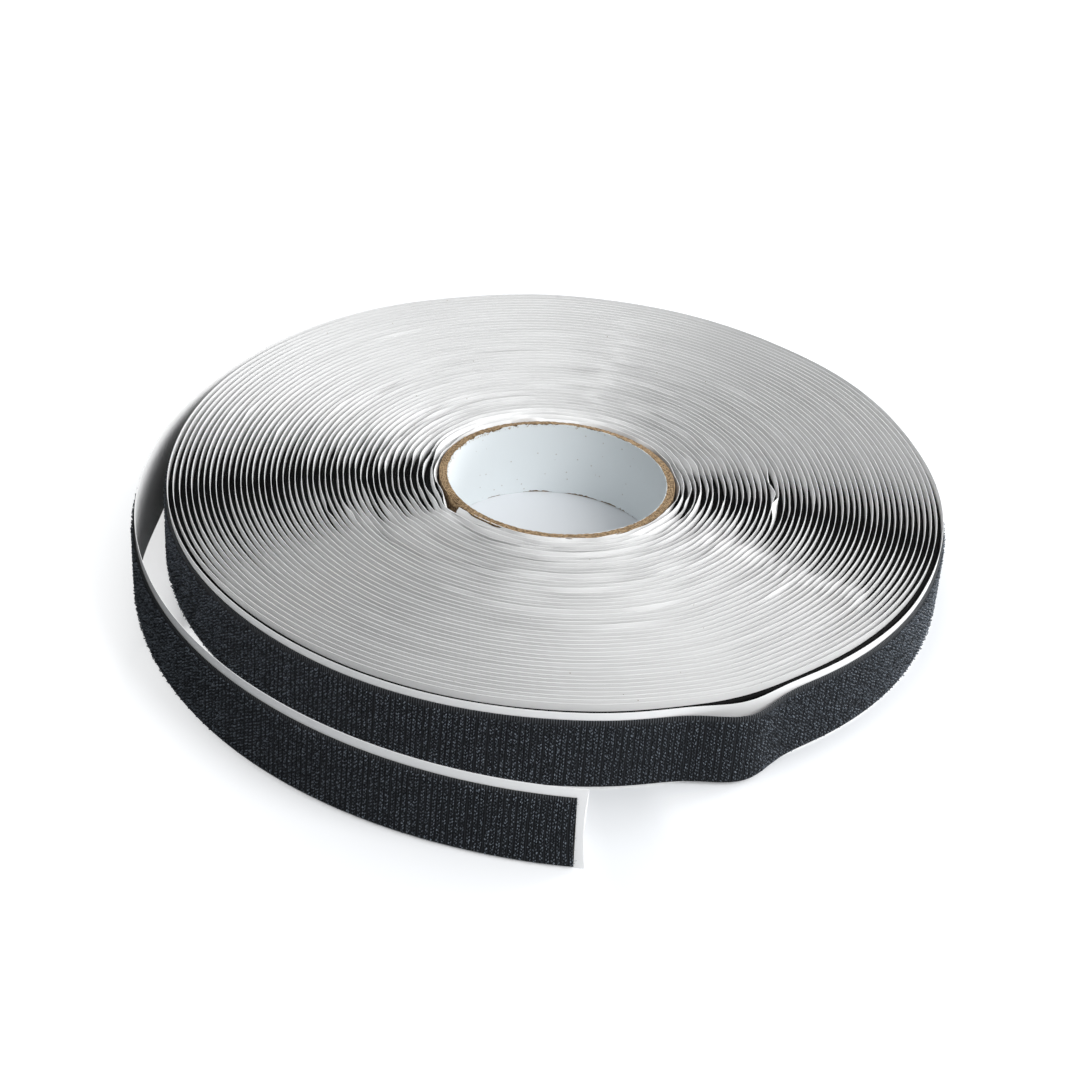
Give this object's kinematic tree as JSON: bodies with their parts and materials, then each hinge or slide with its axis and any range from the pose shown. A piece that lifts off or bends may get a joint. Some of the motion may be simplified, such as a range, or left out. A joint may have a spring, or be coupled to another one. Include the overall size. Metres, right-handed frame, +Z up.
{
  "type": "hook tape roll",
  "caption": "Flat roll of self-adhesive hook tape wound with its release liner on a board tube, with a curled tail that uncurls and a liner end that peels.",
  "frame": {"origin": "middle of the footprint, on the surface that the roll lies on", "axes": "+Z up along the tube's axis, -Y towards the loose end of the tape, +X to the right seen from there"},
  "size_m": [0.2782, 0.3276, 0.0284],
  "materials": {
    "kraft_board": "raw cut kraft board",
    "lining_paper": "matt white paper",
    "wound_strip": "edges of tape and liner wound together",
    "black_nylon": "woven nylon with hooks",
    "clear_adhesive": "tacky coat",
    "liner_film": "satin release coating"
  },
  "bodies": {
    "roll": {"core_tube": "kraft_board", "core_lining": "lining_paper", "inner_turns": "wound_strip", "hook_tape_winding": "black_nylon", "liner_winding": "liner_film"},
    "tail_1": {"hook_tape_tail_1": "black_nylon", "adhesive_tail_1": "clear_adhesive", "liner_tail_1": "liner_film"},
    "tail_2": {"hook_tape_tail_2": "black_nylon", "adhesive_tail_2": "clear_adhesive", "liner_tail_2": "liner_film"},
    "tail_3": {"hook_tape_tail_3": "black_nylon", "adhesive_tail_3": "clear_adhesive", "liner_tail_3": "liner_film"},
    "tail_4": {"hook_tape_tail_4": "black_nylon", "adhesive_tail_4": "clear_adhesive", "liner_tail_4": "liner_film"},
    "tail_5": {"hook_tape_tail_5": "black_nylon", "adhesive_tail_5": "clear_adhesive", "liner_tail_5": "liner_film"},
    "tail_6": {"hook_tape_tail_6": "black_nylon", "adhesive_tail_6": "clear_adhesive", "liner_tail_6": "liner_film"},
    "liner_end": {"liner_tab": "liner_film"}
  },
  "joints": [
    {"name": "tail_bend_1", "type": "hinge", "parent": "roll", "child": "tail_1", "pos_m": [-0.12909, 0.0537, 0], "axis": [0, 0, -1], "range_deg": [-1, 17.5], "stiffness_Nm_per_rad": 0.005},
    {"name": "tail_bend_2", "type": "hinge", "parent": "tail_1", "child": "tail_2", "pos_m": [-0.13796, 0.00979, 0], "axis": [0, 0, -1], "range_deg": [-1, 17.5], "stiffness_Nm_per_rad": 0.005},
    {"name": "tail_bend_3", "type": "hinge", "parent": "tail_2", "child": "tail_3", "pos_m": [-0.13494, -0.03716, 0], "axis": [0, 0, -1], "range_deg": [-1, 17.5], "stiffness_Nm_per_rad": 0.005},
    {"name": "tail_bend_4", "type": "hinge", "parent": "tail_3", "child": "tail_4", "pos_m": [-0.11742, -0.08397, 0], "axis": [0, 0, -1], "range_deg": [-1, 17.5], "stiffness_Nm_per_rad": 0.005},
    {"name": "tail_bend_5", "type": "hinge", "parent": "tail_4", "child": "tail_5", "pos_m": [-0.08396, -0.12509, 0], "axis": [0, 0, -1], "range_deg": [-1, 17.5], "stiffness_Nm_per_rad": 0.005},
    {"name": "tail_bend_6", "type": "hinge", "parent": "tail_5", "child": "tail_6", "pos_m": [-0.03609, -0.15354, 0], "axis": [0, 0, -1], "range_deg": [-1, 17.5], "stiffness_Nm_per_rad": 0.005},
    {"name": "liner_peel", "type": "hinge", "parent": "tail_6", "child": "liner_end", "pos_m": [-0.00827, -0.16023, 0], "axis": [0, 0, 1], "range_deg": [0, 50]}
  ],
  "couplings": [
    {"joint": "tail_bend_2", "follows": "tail_bend_1", "ratio": 1},
    {"joint": "tail_bend_3", "follows": "tail_bend_1", "ratio": 1},
    {"joint": "tail_bend_4", "follows": "tail_bend_1", "ratio": 1},
    {"joint": "tail_bend_5", "follows": "tail_bend_1", "ratio": 1},
    {"joint": "tail_bend_6", "follows": "tail_bend_1", "ratio": 1}
  ]
}
